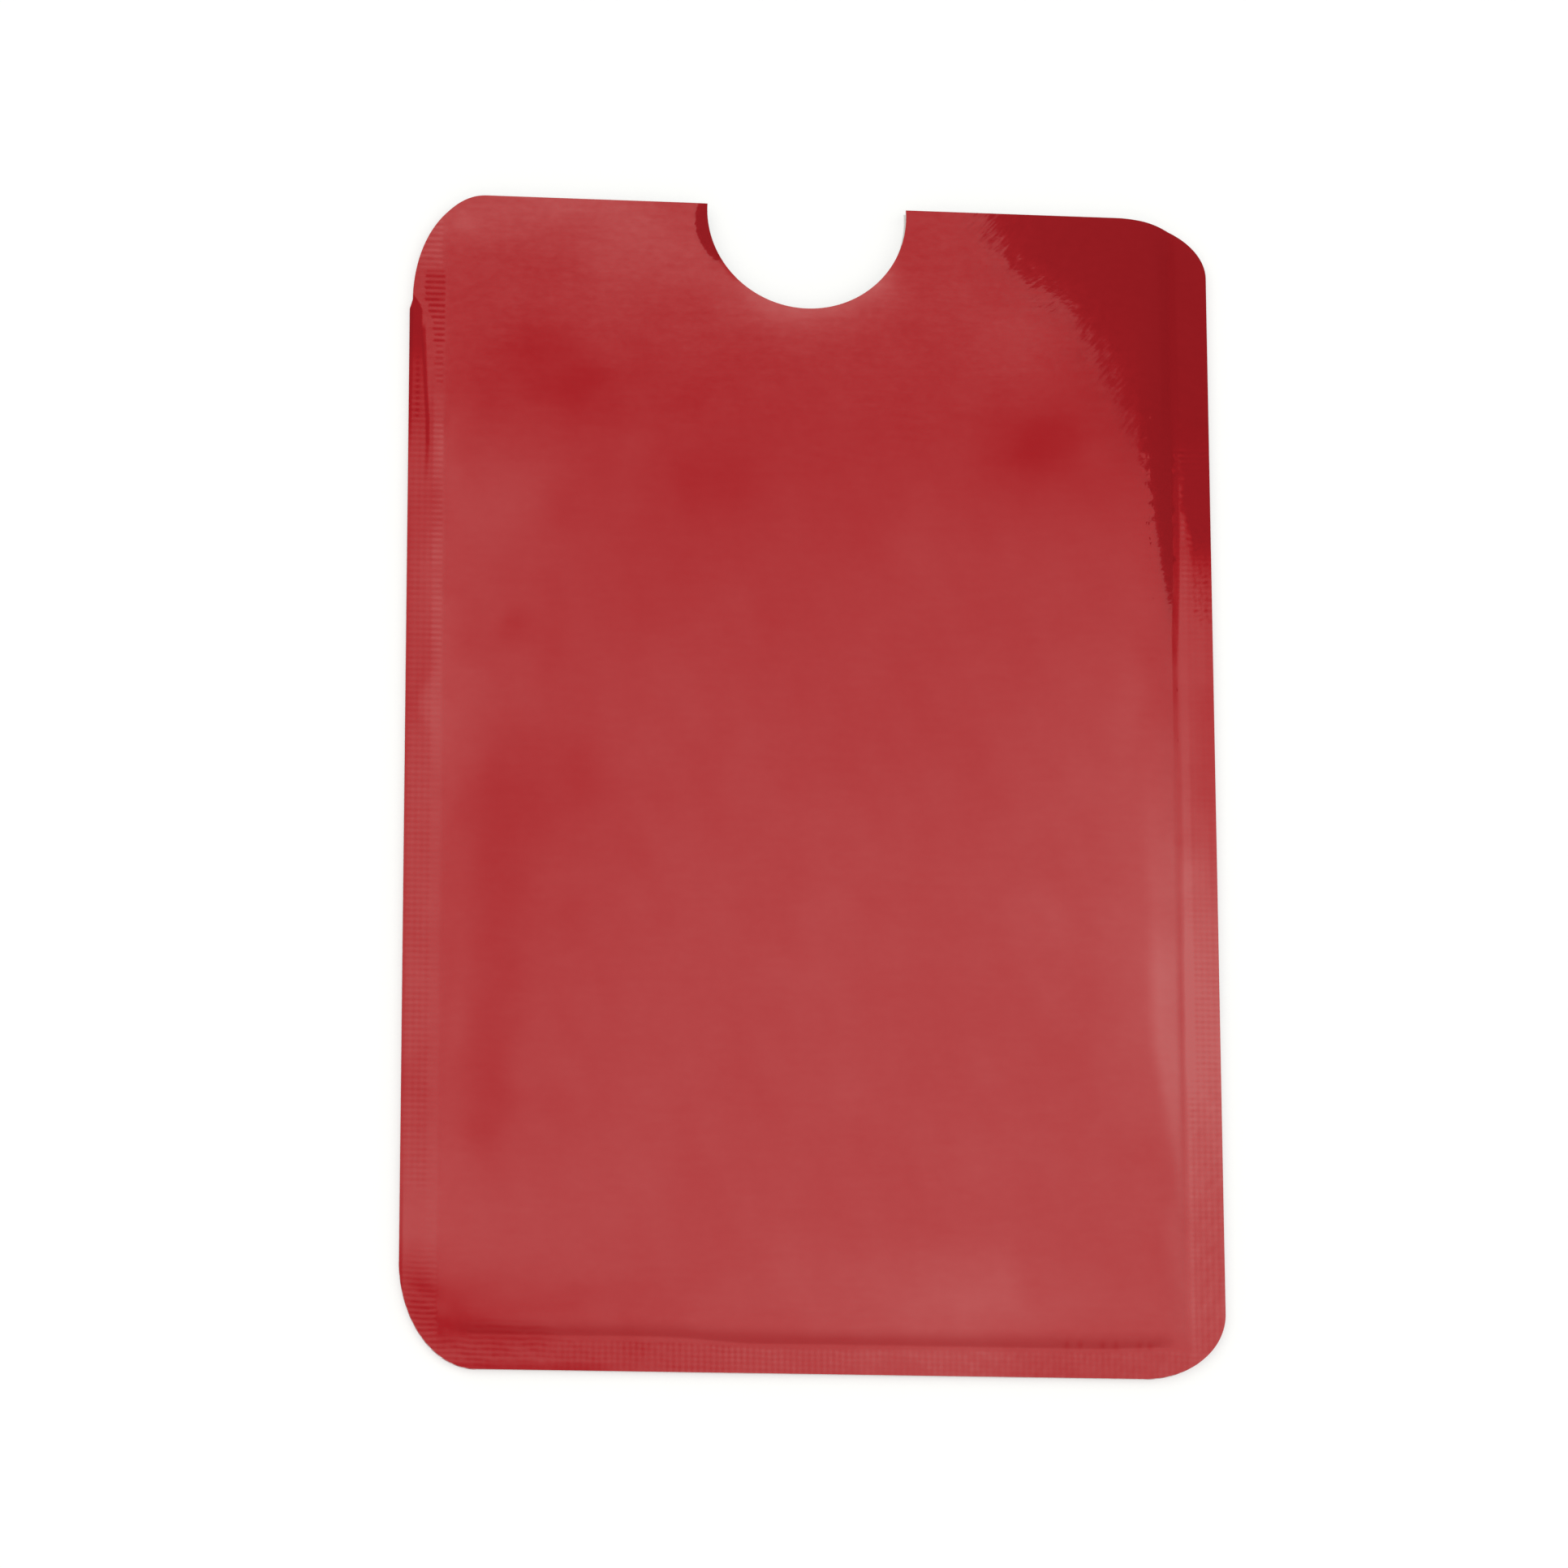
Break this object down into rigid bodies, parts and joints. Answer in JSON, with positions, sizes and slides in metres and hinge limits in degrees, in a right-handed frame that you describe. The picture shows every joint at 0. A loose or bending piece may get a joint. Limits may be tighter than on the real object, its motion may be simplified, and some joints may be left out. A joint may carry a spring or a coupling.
{
  "type": "rfid card sleeve",
  "caption": "Flat foil-lined card sleeve, welded along both sides and the foot, open at the mouth, with a half-round thumb notch through both walls.",
  "frame": {"origin": "centre of the back wall's flat face, on the surface that the sleeve lies on", "axes": "+X across the sleeve, to the right as seen from the front; +Y from the welded foot to the open mouth; +Z out of the front wall"},
  "size_m": [0.062, 0.091, 0.0012],
  "materials": {
    "front_film": "metallic red printed film, satin gloss, with a fine knurl in the weld bands",
    "back_film": "metallic red printed film, satin gloss, with a fine knurl in the weld bands",
    "front_foil": "bright rolled foil",
    "back_foil": "bright rolled foil",
    "front_liner": "milky heat-seal film",
    "back_liner": "milky heat-seal film",
    "weld": "fused heat-seal film"
  },
  "bodies": {
    "root": {"front_film": "front_film", "front_foil": "front_foil", "front_liner": "front_liner", "back_liner": "back_liner", "back_foil": "back_foil", "back_film": "back_film", "left_weld": "weld", "right_weld": "weld", "foot_weld": "weld"}
  },
  "joints": []
}
